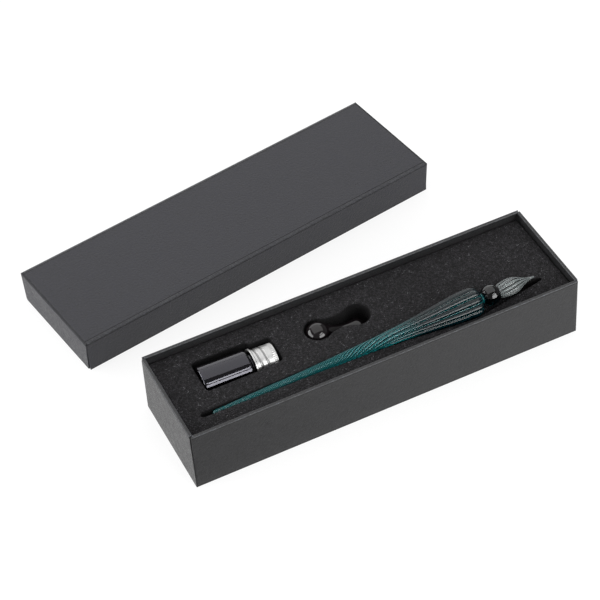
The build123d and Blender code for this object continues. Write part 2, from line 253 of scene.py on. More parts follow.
def smooth_radius(marks, along):
    """Radius at a place from (along, radius) marks, by a cubic curve through them."""
    if along <= marks[0][0]:
        return marks[0][1]

    def slope(j):
        lower, upper = max(j - 1, 0), min(j + 1, len(marks) - 1)
        return (marks[upper][1] - marks[lower][1]) / (marks[upper][0] - marks[lower][0])

    for i in range(len(marks) - 1):
        (x0, r0), (x1, r1) = marks[i], marks[i + 1]
        if along <= x1:
            t, span = (along - x0) / (x1 - x0), x1 - x0
            first = 2 * t ** 3 - 3 * t ** 2 + 1
            leaving = (t ** 3 - 2 * t ** 2 + t) * span * slope(i)
            arriving = (t ** 3 - t ** 2) * span * slope(i + 1)
            return first * r0 + leaving + (1 - first) * r1 + arriving
    return marks[-1][1]


def baked(piece):
    """Turns a piece with modifiers into a plain mesh."""
    graph = bpy.context.evaluated_depsgraph_get()
    graph.update()
    mesh = bpy.data.meshes.new_from_object(piece.evaluated_get(graph), depsgraph=graph)
    piece.modifiers.clear()
    old = piece.data
    mesh.name = old.name
    piece.data = mesh
    bpy.data.meshes.remove(old)


def join_world(piece, place, body, node):
    """Moves a mesh to its place, says what it rides on, and hides its node."""
    if place is not None:
        piece.data.transform(place)
        piece.data.update()
    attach(piece, body)
    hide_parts(node)


# Node trees

class Tree:
    """Short words for making nodes in one tree."""

    def __init__(self, tree):
        self.tree = tree

    def add(self, kind, **values):
        """A node; names with a capital are inputs, with _ for a space, others are settings."""
        node = self.tree.nodes.new(kind)
        for key, value in values.items():
            if key[0].isupper():
                self.plug(value, node.inputs[key.replace("_", " ")])
            else:
                setattr(node, key, value)
        return node

    def plug(self, source, target):
        """Joins a socket to an input, or writes a plain value to it."""
        if isinstance(source, bpy.types.NodeSocket):
            self.tree.links.new(source, target)
        elif target.type == "RGBA":
            target.default_value = (*source, 1)
        else:
            target.default_value = source

    def calc(self, operation, *terms, clamp=False):
        node = self.add("ShaderNodeMath", operation=operation, use_clamp=clamp)
        for term, target in zip(terms, node.inputs):
            self.plug(term, target)
        return node.outputs[0]

    def plus(self, a, b):
        return self.calc("ADD", a, b)

    def minus(self, a, b):
        return self.calc("SUBTRACT", a, b)

    def times(self, a, b):
        return self.calc("MULTIPLY", a, b)

    def times_plus(self, a, factor, extra):
        return self.calc("MULTIPLY_ADD", a, factor, extra)

    def spread(self, value, low, high, to_low=0.0, to_high=1.0, smooth=True):
        """Maps a value from one range to another and holds it inside."""
        kind = "SMOOTHSTEP" if smooth else "LINEAR"
        return self.add(
            "ShaderNodeMapRange", interpolation_type=kind, Value=value, From_Min=low,
            From_Max=high, To_Min=to_low, To_Max=to_high).outputs["Result"]

    def blend(self, share, first, second):
        """Mixes two colours."""
        node = self.add("ShaderNodeMix", data_type="RGBA")
        for term, index in ((share, 0), (first, 6), (second, 7)):
            self.plug(term, node.inputs[index])
        return node.outputs[2]

    def one_over(self, size):
        """The scale of a pattern whose features have this size."""
        socket = isinstance(size, bpy.types.NodeSocket)
        return self.calc("DIVIDE", 1.0, size) if socket else 1 / size

    def noise(self, place, size, detail, rough):
        """A pattern whose features are about one size across, in metres."""
        return self.add(
            "ShaderNodeTexNoise", Detail=detail, Roughness=rough, Vector=place,
            Scale=self.one_over(size)).outputs["Fac"]

    def cells(self, place, size):
        """The distance from the middles of cells about one size across, in metres."""
        return self.add(
            "ShaderNodeTexVoronoi", feature="F1", Vector=place,
            Scale=self.one_over(size)).outputs["Distance"]

    def split(self, vector):
        """A vector's X, Y and Z."""
        return self.add("ShaderNodeSeparateXYZ", Vector=vector).outputs

    def mark(self, name):
        """A value kept on the mesh's points, read by a material."""
        return self.add("ShaderNodeAttribute", attribute_name=name).outputs["Fac"]

    def group(self, maker, **values):
        """The outputs of a shared group, which is built when first asked for."""
        if maker not in shared:
            shared[maker] = maker()
        return self.add("ShaderNodeGroup", node_tree=shared[maker], **values).outputs


shared = {}


def fresh_tree(owner):
    """The emptied node tree of a material or the world."""
    owner.use_nodes = True
    owner.node_tree.nodes.clear()
    return Tree(owner.node_tree)


def new_group(name, kind, inputs, outputs):
    """An empty node group with named sockets, and its two end nodes."""
    tree = bpy.data.node_groups.new(name, kind)
    for side, sockets in (("INPUT", inputs), ("OUTPUT", outputs)):
        for socket_name, socket_type, default in sockets:
            socket = tree.interface.new_socket(
                socket_name, in_out=side, socket_type="NodeSocket" + socket_type)
            if default is not None:
                socket.default_value = default
    work = Tree(tree)
    return work, work.add("NodeGroupInput").outputs, work.add("NodeGroupOutput").inputs


def grain_group():
    """Fine grain, coarser fibres and slow blotches of a pressed or cut surface."""
    work, given, out = new_group(
        "fine grain", "ShaderNodeTree",
        [("Vector", "Vector", None), ("Size", "Float", 0.0004), ("Blotch", "Float", 0.006)],
        [("Grain", "Float", None), ("Blotches", "Float", None), ("Height", "Float", None)])
    fine = work.noise(given["Vector"], given["Size"], 3, 0.6)
    fibre = work.noise(given["Vector"], work.times(given["Size"], 3.0), 3, 0.6)
    slow = work.noise(given["Vector"], given["Blotch"], 3, 0.55)
    both = work.times_plus(fibre, 0.6, work.times(fine, 0.4))
    work.plug(work.spread(both, 0.36, 0.64, smooth=False), out["Grain"])
    work.plug(work.spread(slow, 0.32, 0.68), out["Blotches"])
    work.plug(both, out["Height"])
    return work.tree


def fold_group():
    """Folds of a card box: rubbed edges, the band beside each fold, and its crease lines, where
    shade is painted.
    """
    work, given, out = new_group(
        "card folds", "ShaderNodeTree",
        [("Vector", "Vector", None), ("Half Length", "Float", 0.1), ("Half Width", "Float", 0.03),
         ("Height", "Float", 0.03), ("Rim Level", "Float", 0.03), ("Rim", "Float", 0.00175),
         ("Reach", "Float", 0.0007)],
        [("Rubbed", "Float", None), ("Band", "Float", None), ("Pressed", "Float", None)])
    parts = work.split(given["Vector"])

    def less(a, b):
        return work.calc("MINIMUM", a, b)

    def apart(a, b):
        return work.calc("ABSOLUTE", work.minus(a, b))

    def both(a, b):
        squares = work.plus(work.times(a, a), work.times(b, b))
        return work.calc("SQRT", squares)

    def line(distance, at, half_width):
        return work.spread(apart(distance, at), half_width, half_width * 0.35)

    # edges and lines, in metres from a fold or the rim
    board_edge, wall_edge = (0.0008, 0.0004), (0.0007, 0.0003)
    band_from, band_to, end_fold_edge = (0.0003, 0.0006), (0.00175, 0.0015), (0.0014, 0.0009)
    top_line_at, low_line_at, rim_line_at = 0.0019, 0.0009, 0.00085
    ragged_size, ragged_reach = 0.0013, 0.0005

    from_end = work.minus(given["Half Length"], work.calc("ABSOLUTE", parts["X"]))
    from_side = work.minus(given["Half Width"], work.calc("ABSOLUTE", parts["Y"]))
    from_rim = apart(parts["Z"], given["Rim Level"])
    from_board = work.minus(given["Height"], from_rim)
    inward = less(from_end, from_side)
    ragged = work.noise(given["Vector"], ragged_size, 3, 0.6)
    shift = work.times(work.minus(ragged, 0.5), ragged_reach)

    nearest = both(from_end, from_side)
    for distance in (from_end, from_side):
        rim_edge = less(work.calc("ABSOLUTE", distance), apart(distance, given["Rim"]))
        nearest = less(nearest, both(rim_edge, from_rim))
        nearest = less(nearest, both(distance, from_board))
    edge = work.plus(nearest, work.times(shift, 1.6))
    work.plug(work.spread(edge, given["Reach"], work.times(given["Reach"], 0.1)), out["Rubbed"])

    on_board = work.spread(from_board, *board_edge)
    on_wall = work.spread(inward, *wall_edge)
    by_side = work.plus(from_side, work.times(shift, 0.6))
    band = work.times(on_board, work.spread(by_side, *band_to))
    work.plug(work.times(band, work.spread(by_side, *band_from)), out["Band"])
    # crease lines, each sunk by the bump and darkened as painted shade
    top_line = work.times(on_board, line(by_side, top_line_at, 0.00035))
    by_end = work.plus(from_end, shift)
    end_fold = work.times(on_board, work.spread(by_end, *end_fold_edge, 0.0, 0.75))
    top_line = work.calc("MAXIMUM", top_line, end_fold)
    low_line = work.times(on_wall, line(work.plus(from_board, shift), low_line_at, 0.0004))
    rim_line = work.times(on_wall, line(from_rim, rim_line_at, 0.0003))
    shaded_creases = work.calc("MAXIMUM", work.calc("MAXIMUM", top_line, low_line), rim_line)
    work.plug(shaded_creases, out["Pressed"])
    return work.tree


def dust_group():
    """Faint smears and specks on polished glass or metal, and its slow unevenness."""
    work, given, out = new_group(
        "smears and specks", "ShaderNodeTree",
        [("Vector", "Vector", None), ("Smear", "Float", 0.004), ("Speck", "Float", 0.0006)],
        [("Smears", "Float", None), ("Specks", "Float", None), ("Height", "Float", None)])
    smear = work.noise(given["Vector"], given["Smear"], 5, 0.65)
    cells = work.cells(given["Vector"], given["Speck"])
    swell = work.noise(given["Vector"], work.times(given["Smear"], 2.0), 0, 0.5)
    work.plug(work.spread(smear, 0.5, 0.8), out["Smears"])
    work.plug(work.spread(cells, 0.1, 0.03), out["Specks"])
    work.plug(swell, out["Height"])
    return work.tree


def new_material(name, **plain):
    """A material with one Principled shader; plain gives its constant sockets."""
    material = bpy.data.materials.new(name)
    work = fresh_tree(material)
    surface = work.add("ShaderNodeBsdfPrincipled", **plain)
    output = work.add("ShaderNodeOutputMaterial", Surface=surface.outputs[0])
    return material, work, surface, output


def coat(work, surface, tone, rough, height, strength, distance):
    """Joins colour, roughness and relief to the surface."""
    work.plug(tone, surface.inputs["Base Color"])
    work.plug(rough, surface.inputs["Roughness"])
    bump = work.add("ShaderNodeBump", Height=height, Strength=strength, Distance=distance)
    work.plug(bump.outputs["Normal"], surface.inputs["Normal"])


def object_place(work):
    """The place on a piece that every pattern reads."""
    return work.add("ShaderNodeTexCoord").outputs["Object"]


BAND_COLOUR = srgb("3c3d3e")
WORN_COLOUR = srgb("505359")
CARD_ROUGHNESS = 0.27
SKIN_COLOUR = srgb("6c6c6f")  # broken skins of the foam's cells
GLASS_ABSORPTION = 60  # density of the pen's glass, per metre


def card_material(name, colour, looks, size, rim_at, centre=(0, 0), yaw=0):
    """Fine-grained black card, rubbed lighter along its folds, with painted shade along its crease
    lines and end folds.
    """
    material, work, surface, _ = new_material(name, Specular_IOR_Level=0.38)
    place = object_place(work)
    if yaw:
        turned = Matrix.Rotation(radians(-yaw), 3, "Z") @ Vector((*centre, 0)) * MM
        place = work.add(
            "ShaderNodeMapping", Vector=place, Rotation=(0, 0, radians(-yaw)),
            Location=-turned).outputs["Vector"]
    grain = work.group(
        grain_group, Vector=place, Size=looks.grain, Blotch=0.005)
    folds = work.group(
        fold_group, Vector=place, Half_Length=size[0] * MM / 2,
        Half_Width=size[1] * MM / 2, Height=size[2] * MM, Rim_Level=rim_at * MM, Reach=looks.wear)
    dark = shade(colour, 0.6)
    light = shade(colour, 1.5)
    tone = work.blend(grain["Grain"], dark, light)
    tone = work.blend(work.times(grain["Blotches"], 0.3), tone, shade(colour, 1.6))
    flecks = work.times(work.spread(grain["Grain"], 0.35, 0.9), 0.6)
    band = work.times(folds["Band"], work.plus(flecks, 0.1))
    tone = work.blend(band, tone, BAND_COLOUR)
    worn = work.times(folds["Rubbed"], work.plus(flecks, 0.25))
    tone = work.blend(worn, tone, WORN_COLOUR)
    # painted shade: the card is darkened along its crease lines and beside its end folds
    tone = work.blend(work.times(folds["Pressed"], 0.9), tone, shade(colour, 0.3))
    rough = work.times_plus(grain["Blotches"], 0.06, CARD_ROUGHNESS)
    rough = work.times_plus(grain["Grain"], 0.2, rough)
    rough = work.times_plus(folds["Pressed"], 0.35, rough)
    height = work.times_plus(folds["Pressed"], -0.6, grain["Height"])
    coat(work, surface, tone, rough, height, 1.0, 0.0003)
    return material


def foam_material(looks):
    """Charcoal foam: small open cells, pale broken skins here and there, painted shade in its
    hollows and on faces that don't look up.
    """
    material, work, surface, _ = new_material("foam", Specular_IOR_Level=0.25)
    place = object_place(work)
    cells = work.cells(place, looks.cell)
    pits = work.spread(cells, 0.1, 0.75)
    fuzz = work.noise(place, looks.cell * 0.45, 3, 0.7)
    slow = work.noise(place, 0.004, 4, 0.6)
    normal = work.add("ShaderNodeNewGeometry").outputs["Normal"]
    face = work.spread(work.split(normal)["Z"], 0.2, 0.8)
    base = tuple(looks.colour)
    coarse = work.noise(place, looks.cell * 1.6, 3, 0.65)
    # painted shade: the pits between the cells' middles are darkened where the bump sinks them
    tone = work.blend(pits, shade(base, 1.5), shade(base, 0.25))
    tone = work.blend(work.spread(fuzz, 0.5, 0.66), tone, shade(base, 7.0))
    # painted shade: the low parts of the coarse pattern are darkened, as they lie lower in the
    # bump
    tone = work.blend(work.spread(coarse, 0.62, 0.38), tone, shade(base, 0.3))
    tone = work.blend(work.times(work.spread(slow, 0.4, 0.7), 0.3), tone, shade(base, 0.6))
    flecks = work.noise(place, 0.0026, 2, 0.8)
    skin = work.noise(place, 0.0008, 1, 0.5)
    fleck = work.times(work.spread(flecks, 0.5, 0.75), work.spread(skin, 0.57, 0.66))
    tone = work.blend(work.times(fleck, 0.7), tone, SKIN_COLOUR)
    # faces that don't look up are darker: partly the cut foam's own tone, partly painted shade on
    # the pockets' walls
    tone = work.blend(face, shade(base, 0.3), tone)
    rough = work.spread(fuzz, 0.3, 0.7, 0.85, 1.0)
    height = work.times_plus(pits, -0.8, work.plus(fuzz, coarse))
    coat(work, surface, tone, rough, height, 0.9, 0.0004)
    return material


def glass_material(
        name, tint, ior, absorb=None, valley=None, deep=None, clear=1.0, sheen=(1, 1, 1)):
    """Glass with faint smears, with painted shade in the valleys between its ridges, and with a
    tint of its own for a thick end.

    absorb is the colour that its depth lets through. The rest of clear is a
    share of plain tinted surface, which stands for light scattered inside.
    """
    material, work, surface, output = new_material(
        name, Base_Color=tint, Transmission_Weight=clear, IOR=ior, Specular_Tint=sheen)
    dust = work.group(dust_group, Vector=object_place(work))
    tinted = tint
    if valley is not None:
        # painted shade: the valleys between the ridges take the darker valley tint
        crest = work.mark("crest")
        tinted = work.blend(work.spread(crest, 0.35, 1.0), valley, tint)
    if deep is not None:
        thick = work.mark("thick")
        body = work.blend(work.spread(crest, 0.0, 0.3), tint, deep)
        tinted = work.blend(work.spread(thick, 0.4, 0.7), tinted, body)
    tinted = work.blend(work.times(dust["Smears"], 0.2), tinted, shade(tint, 0.8))
    rough = work.times(dust["Smears"], 0.012)
    coat(work, surface, tinted, rough, dust["Height"], 0.1, 0.0001)
    if absorb is not None:
        depth = work.add(
            "ShaderNodeVolumeAbsorption", Color=absorb, Density=GLASS_ABSORPTION)
        work.plug(depth.outputs[0], output.inputs["Volume"])
    return material


def gloss_material(name, colour, roughness, specular=0.5, ior=1.5):
    """Dark polished glass or liquid that lets no light through."""
    material, work, surface, _ = new_material(
        name, Specular_IOR_Level=specular, IOR=ior)
    dust = work.group(dust_group, Vector=object_place(work))
    tone = work.blend(dust["Smears"], colour, tuple(c * 1.5 + 0.001 for c in colour))
    rough = work.times_plus(dust["Smears"], 0.04, roughness)
    rough = work.times_plus(dust["Specks"], 0.12, rough)
    coat(work, surface, tone, rough, dust["Height"], 0.1, 0.0001)
    return material


def metal_material(colour):
    """Satin aluminium with fine marks round it, and painted shade in its thread and knurl grooves.
    """
    material, work, surface, _ = new_material("cap metal", Metallic=1.0)
    place = object_place(work)
    mapping = work.add(
        "ShaderNodeMapping", Vector=place, Rotation=(0, 0, radians(-BOTTLE_YAW)))
    stretch = work.add(
        "ShaderNodeMapping", Vector=mapping.outputs["Vector"], Scale=(9, 0.8, 0.8))
    lines = work.noise(stretch.outputs["Vector"], 0.0016, 4, 0.6)
    grain = work.group(grain_group, Vector=place, Size=0.0003, Blotch=0.003)
    dust = work.group(dust_group, Vector=place)
    worn = work.blend(work.spread(lines, 0.35, 0.65), shade(colour, 0.86), colour)
    worn = work.blend(work.times(dust["Smears"], 0.3), worn, shade(colour, 0.8))
    # painted shade: the thread's valleys and the knurl's grooves are darkened
    hollow = work.mark("hollow")
    worn = work.blend(work.calc("MULTIPLY", hollow, 0.6, clamp=True), worn, shade(colour, 0.3))
    rough = work.times_plus(lines, 0.14, 0.3)
    rough = work.times_plus(grain["Blotches"], 0.08, rough)
    height = work.times_plus(grain["Grain"], 0.4, lines)
    coat(work, surface, worn, rough, height, 0.35, 0.00006)
    return material


def plastic_material(colour):
    """Soft white seal with a faint grain."""
    material, work, surface, _ = new_material("seal")
    grain = work.group(
        grain_group, Vector=object_place(work), Size=0.0004, Blotch=0.003)
    tone = work.blend(grain["Blotches"], colour, shade(colour, 0.85))
    rough = work.spread(grain["Grain"], 0, 1, 0.5, 0.7)
    coat(work, surface, tone, rough, grain["Height"], 0.3, 0.0001)
    return material


def set_material(piece, material):
    """Gives a piece or a CAD node one material, mesh untouched."""
    if not piece.material_slots:
        piece.data.materials.append(material)
    for slot in piece.material_slots:
        slot.material = material


# Geometry Nodes

def geometry_group(name, inputs):
    """An empty modifier tree that takes and gives a mesh."""
    geometry = ("Geometry", "Geometry", None)
    return new_group(
        name, "GeometryNodeTree", [geometry, *inputs, ("Material", "Material", None)], [geometry])


def kept(work, name):
    """Reads a value kept on the mesh's points."""
    node = work.add("GeometryNodeInputNamedAttribute", data_type="FLOAT", Name=name)
    return node.outputs["Attribute"]


def store(work, geometry, name, value):
    """Keeps a value on the mesh's points for the material."""
    return work.add(
        "GeometryNodeStoreNamedAttribute", data_type="FLOAT", domain="POINT",
        Geometry=geometry, Name=name, Value=value).outputs[0]


def finish_tree(work, geometry, given, out):
    """Every tree ends in real geometry with its material set."""
    real = work.add("GeometryNodeRealizeInstances", Geometry=geometry)
    dress = work.add(
        "GeometryNodeSetMaterial", Geometry=real.outputs[0], Material=given["Material"])
    work.plug(dress.outputs[0], out["Geometry"])


def radial_move(work, geometry, scale):
    """Scales each point's distance from the X axis."""
    parts = work.split(work.add("GeometryNodeInputPosition").outputs[0])
    joined = work.add(
        "ShaderNodeCombineXYZ", X=parts["X"], Y=work.times(parts["Y"], scale),
        Z=work.times(parts["Z"], scale))
    return work.add(
        "GeometryNodeSetPosition", Geometry=geometry, Position=joined.outputs[0]).outputs[0]


def fluted_tree():
    """Rounded ridges with sharp valleys round a rod, from its kept angles."""
    work, given, out = geometry_group("fluted rod", [
        ("Flutes", "Int", 11), ("Depth", "Float", 0.14), ("Roundness", "Float", 0.25)])
    angle = work.times(kept(work, "angle"), given["Flutes"])
    lobe = work.times_plus(work.calc("COSINE", angle), 0.5, 0.5)
    lobe = work.calc("POWER", lobe, given["Roundness"])
    depth = work.times(given["Depth"], kept(work, "fade"))
    scale = work.minus(1.0, work.times(depth, work.minus(1.0, lobe)))
    # crest is kept for the glass, which paints shade into the valleys with it
    marked = store(work, given["Geometry"], "crest", work.spread(lobe, 0.3, 1.0))
    finish_tree(work, radial_move(work, marked, scale), given, out)
    return work.tree


def rolled_cap_tree():
    """A rolled thread and a knurled band on a turned shell."""
    work, given, out = geometry_group("rolled cap", [
        ("Pitch", "Float", 0.00335), ("Thread Depth", "Float", 0.00032), ("Knurls", "Int", 48),
        ("Knurl Depth", "Float", 0.00016), ("Radius", "Float", 0.0079)])
    turns = work.calc("DIVIDE", kept(work, "angle"), 2 * pi)
    phase = work.minus(work.calc("DIVIDE", kept(work, "along"), given["Pitch"]), turns)
    wave = work.times_plus(work.calc("COSINE", work.times(phase, 2 * pi)), 0.5, 0.5)
    valley = work.minus(1.0, work.spread(wave, 0.0, 0.42))
    sunk = work.times(work.times(valley, given["Thread Depth"]), kept(work, "thread"))
    teeth = work.calc("COSINE", work.times(kept(work, "angle"), given["Knurls"]))
    groove = work.spread(teeth, 0.3, -0.6)
    cut = work.times(work.times(groove, given["Knurl Depth"]), kept(work, "knurl"))
    lost = work.calc("DIVIDE", work.plus(sunk, cut), given["Radius"])
    # hollow marks the thread's valleys and the knurl's grooves, where the cap's material paints
    # shade
    threaded = work.times(valley, kept(work, "thread"))
    hollow = work.plus(threaded, work.times(work.times(groove, 0.6), kept(work, "knurl")))
    marked = store(work, given["Geometry"], "hollow", hollow)
    finish_tree(work, radial_move(work, marked, work.minus(1.0, lost)), given, out)
    return work.tree


def uneven_tree():
    """Shallow dips over a cut block, always inwards."""
    work, given, out = geometry_group("uneven cut", [
        ("Depth", "Float", 0.0001), ("Least", "Float", 0.0001), ("Size", "Float", 0.003),
        ("Seed", "Float", 3.0)])
    pattern = work.add(
        "ShaderNodeTexNoise", noise_dimensions="4D", W=given["Seed"],
        Vector=work.add("GeometryNodeInputPosition").outputs[0],
        Scale=work.one_over(given["Size"]))
    dip = work.times_plus(pattern.outputs["Fac"], given["Depth"], given["Least"])
    dip = work.times(dip, -1.0)
    normal = work.add("GeometryNodeInputNormal").outputs[0]
    push = work.add("ShaderNodeVectorMath", operation="SCALE", Vector=normal, Scale=dip)
    move = work.add(
        "GeometryNodeSetPosition", Geometry=given["Geometry"], Offset=push.outputs[0])
    finish_tree(work, move.outputs[0], given, out)
    return work.tree


def run_tree(piece, tree, **values):
    """Runs a tree on a piece once and keeps the result as its mesh."""
    modifier = piece.modifiers.new(tree.name, "NODES")
    modifier.node_group = tree
    for item in tree.interface.items_tree:
        key = item.name.replace(" ", "_")
        if item.item_type == "SOCKET" and item.in_out == "INPUT" and key in values:
            modifier[item.identifier] = values[key]
    baked(piece)


# Pieces

def dress_card(looks):
    """The card panels stay the solid model's own nodes, with a finish each."""
    tray = card_material("tray card", tuple(looks.tray_colour), looks, TRAY_SIZE, TRAY_SIZE[2])
    lid = card_material(
        "lid card", tuple(looks.lid_colour), looks, LID_SIZE, 0, LID_CENTRE, LID_YAW)
    for name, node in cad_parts.items():
        if name.startswith("tray_"):
            set_material(node, tray)
        elif name.startswith("lid_"):
            set_material(node, lid)


def make_foam(looks):
    """The cut block, evenly meshed and slightly uneven on every face."""
    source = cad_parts["foam_insert"]
    piece = new_object("cut_foam", source.data.copy())
    weld(piece, 1e-6)
    material = foam_material(looks)
    remesh = piece.modifiers.new("even mesh", "REMESH")
    remesh.mode = "VOXEL"
    remesh.voxel_size = looks.voxel
    remesh.use_smooth_shade = True
    run_tree(piece, uneven_tree(), Depth=looks.unevenness, Size=0.0025, Material=material)
    join_world(piece, None, "tray", "foam_insert")


HANDLE_TAIL = [(0.0, 0.0), (0.02, 0.35), (0.15, 0.69), (0.4, 1.02)]
HANDLE_MARKS = [
    (0.81, 1.25), (14.6, 1.5), (27.74, 1.7), (48.18, 1.95), (59.86, 2.25), (73, 2.75),
    (83.95, 3.1), (91.98, 3.55), (100.01, 4.1), (107.02, 4.7), (113.88, 5.4), (121.03, 6.15),
    (128.04, 6.95), (132.57, 7.4), (136.5, 7.52), (139.7, 7.65), (142.1, 7.27), (143.4, 6.35),
    (144.1, 5.05), (144.4, 3.83)]
HANDLE_LENGTH = 146.0
HEAD_RADIUS = 7.65
NECK_RADIUS = 2.6
HANDLE_NECK = [
    (144.4, 3.83), (144.62, 3.2), (144.95, 2.78), (145.4, NECK_RADIUS), (145.99, NECK_RADIUS),
    (145.99, 0.0)]
RING_STEPS = [(100, 0.27), (132, 0.5), (HANDLE_LENGTH, 0.25)]  # up to a place, and the step there
POINTS_PER_FLUTE = 12
BEAD_RADIUS = 5.2
BEAD_CENTRE = HANDLE_LENGTH + sqrt(BEAD_RADIUS ** 2 - NECK_RADIUS ** 2)
NIB_BASE_RADIUS = 3.2
NIB_START = BEAD_CENTRE + sqrt(BEAD_RADIUS ** 2 - NIB_BASE_RADIUS ** 2)
NIB_LENGTH = 20.75
NIB_RADIUS = 4.35
NIB_TWIST = -0.035  # radians over one millimetre
# shares of the nib's length and of its radius there
NIB_SHARES = [
    (0.0, 0.72), (0.07, 0.85), (0.16, 0.94), (0.28, 1.0), (0.4, 0.97), (0.52, 0.83), (0.62, 0.62),
    (0.71, 0.42), (0.8, 0.26), (0.88, 0.16), (0.97, 0.115), (0.99, 0.09)]
JOINT_GAP = 0.01  # the pen's pieces stop this far short of each other
TWIST_EASE = 2.3  # how softly the twist begins
STRAIGHT_FROM = 100.0  # from here to the shoulder the flutes run straight
TIGHT_UP_TO = 58.0  # from the tail to here the twist is at its full rate


def twist_angle(along, rate):
    """Turn of the ridges at a place along the handle, left-handed."""
    if along >= STRAIGHT_FROM:
        return 0.0
    span = STRAIGHT_FROM - TIGHT_UP_TO
    if along >= TIGHT_UP_TO:
        return rate * span * ((STRAIGHT_FROM - along) / span) ** TWIST_EASE / TWIST_EASE
    return rate * span / TWIST_EASE + rate * (TIGHT_UP_TO - along)


def pen_handle(looks, tree, material):
    """The twisted, fluted handle, from its tail to its neck."""
    profile = list(HANDLE_TAIL)
    along = HANDLE_MARKS[0][0]
    while along < HANDLE_MARKS[-1][0]:
        profile.append((along, smooth_radius(HANDLE_MARKS, along)))
        along += next(step for limit, step in RING_STEPS if along < limit)
    profile += HANDLE_NECK

    def fade(i, along, angle):
        """The flutes grow at the tail, deepen along the handle and end at the neck."""
        ends = share((along - 0.5) / 3) * share((145.0 - along) / 1.4)
        return ends * (0.85 + 0.15 * min(1.0, along / 90))

    marks = {
        "fade": fade,
        "thick": lambda i, along, angle: smooth_radius(HANDLE_MARKS, along) / HEAD_RADIUS,
    }
    piece = lathe(
        "pen_handle_glass", profile, looks.flutes * POINTS_PER_FLUTE,
        lambda along: twist_angle(along, looks.twist), marks)
    run_tree(piece, tree, Flutes=looks.flutes, Depth=looks.flute_depth, Material=material)
    join_world(piece, PEN_PLACE, "pen", "pen_handle")


def pen_bead(material):
    """The ball between handle and nib."""
    start, end = asin(NECK_RADIUS / BEAD_RADIUS), pi - asin(NIB_BASE_RADIUS / BEAD_RADIUS)
    steps = 48
    turns = [start + (end - start) * i / steps for i in range(steps + 1)]
    ball = [(BEAD_CENTRE - BEAD_RADIUS * cos(turn), BEAD_RADIUS * sin(turn)) for turn in turns]
    profile = [(HANDLE_LENGTH + JOINT_GAP, 0.0), *ball, (NIB_START - JOINT_GAP, 0.0)]
    piece = lathe("pen_bead_glass", profile, 96)
    set_material(piece, material)
    join_world(piece, PEN_PLACE, "pen", "pen_bead")


def pen_nib(looks, tree, material):
    """The clear nib, its ridges twisting into the point."""
    marks = [(NIB_START + NIB_LENGTH * a, NIB_RADIUS * r) for a, r in NIB_SHARES]
    last_share, steps = NIB_SHARES[-1][0], 110
    places = [NIB_START + NIB_LENGTH * last_share * i / steps for i in range(steps + 1)]
    profile = [(NIB_START, 0.0), *((along, smooth_radius(marks, along)) for along in places)]
    profile += [(NIB_START + NIB_LENGTH * 0.997, 0.2), (NIB_START + NIB_LENGTH, 0.0)]
    kept_values = {
        "fade": lambda i, along, angle: min(1.0, 0.3 + (along - NIB_START) / 2),
    }
    piece = lathe(
        "pen_nib_glass", profile, looks.nib_flutes * POINTS_PER_FLUTE,
        lambda along: NIB_TWIST * (along - NIB_START), kept_values)
    run_tree(piece, tree, Flutes=looks.nib_flutes, Depth=looks.nib_depth, Material=material)
    join_world(piece, PEN_PLACE, "pen", "pen_nib")


def make_pen(looks):
    """The pen's three pieces, each in its own glass."""
    tree = fluted_tree()
    let_through = tuple(looks.glass_colour)
    # the valley tints are painted shade between the ridges
    pen_handle(looks, tree, glass_material(
        "teal glass", (0.008, 0.21, 0.22), 1.38, absorb=let_through,
        valley=(0.001, 0.036, 0.04), deep=(0.001, 0.012, 0.016), clear=0.66))
    pen_bead(glass_material("bead glass", (0.002, 0.035, 0.04), 1.52, absorb=let_through))
    pen_nib(looks, tree, glass_material(
        "clear glass", (0.27, 0.3, 0.3), 1.4, valley=(0.03, 0.036, 0.036), clear=0.62))


REST_BALL_RADIUS = 6.28
REST_WAIST_RADIUS = 3.9
REST_SPACING = 22.5  # from ball to ball


def make_rest():
    """Two balls joined by a hollow waist, one smooth turned body."""
    ball, waist, half = REST_BALL_RADIUS, REST_WAIST_RADIUS, REST_SPACING / 2
    hollow = (half ** 2 + waist ** 2 - ball ** 2) / (2 * (ball - waist))
    centre = waist + hollow
    joint_angle = asin(centre * (ball / (ball + hollow)) / ball)
    steps = 44
    turns = [(pi - joint_angle) * i / steps for i in range(steps + 1)]
    left = [(-half - ball * cos(turn), ball * sin(turn)) for turn in turns]
    joint_x = left[-1][0]
    arc = asin(-joint_x / hollow)
    turns = [-arc + 2 * arc * i / steps for i in range(1, steps)]
    middle = [(hollow * sin(turn), centre - hollow * cos(turn)) for turn in turns]
    right = [(-x, r) for x, r in reversed(left)]
    profile = [(x + half, r) for x, r in left + middle + right]
    profile[0], profile[-1] = (profile[0][0], 0.0), (profile[-1][0], 0.0)
    piece = lathe("rest_glass", profile, 128)
    set_material(piece, gloss_material(
        "black glass", (0.004, 0.003, 0.0035), roughness=0.02, specular=0.36, ior=1.56))
    join_world(piece, REST_PLACE, "rest", "pen_rest")


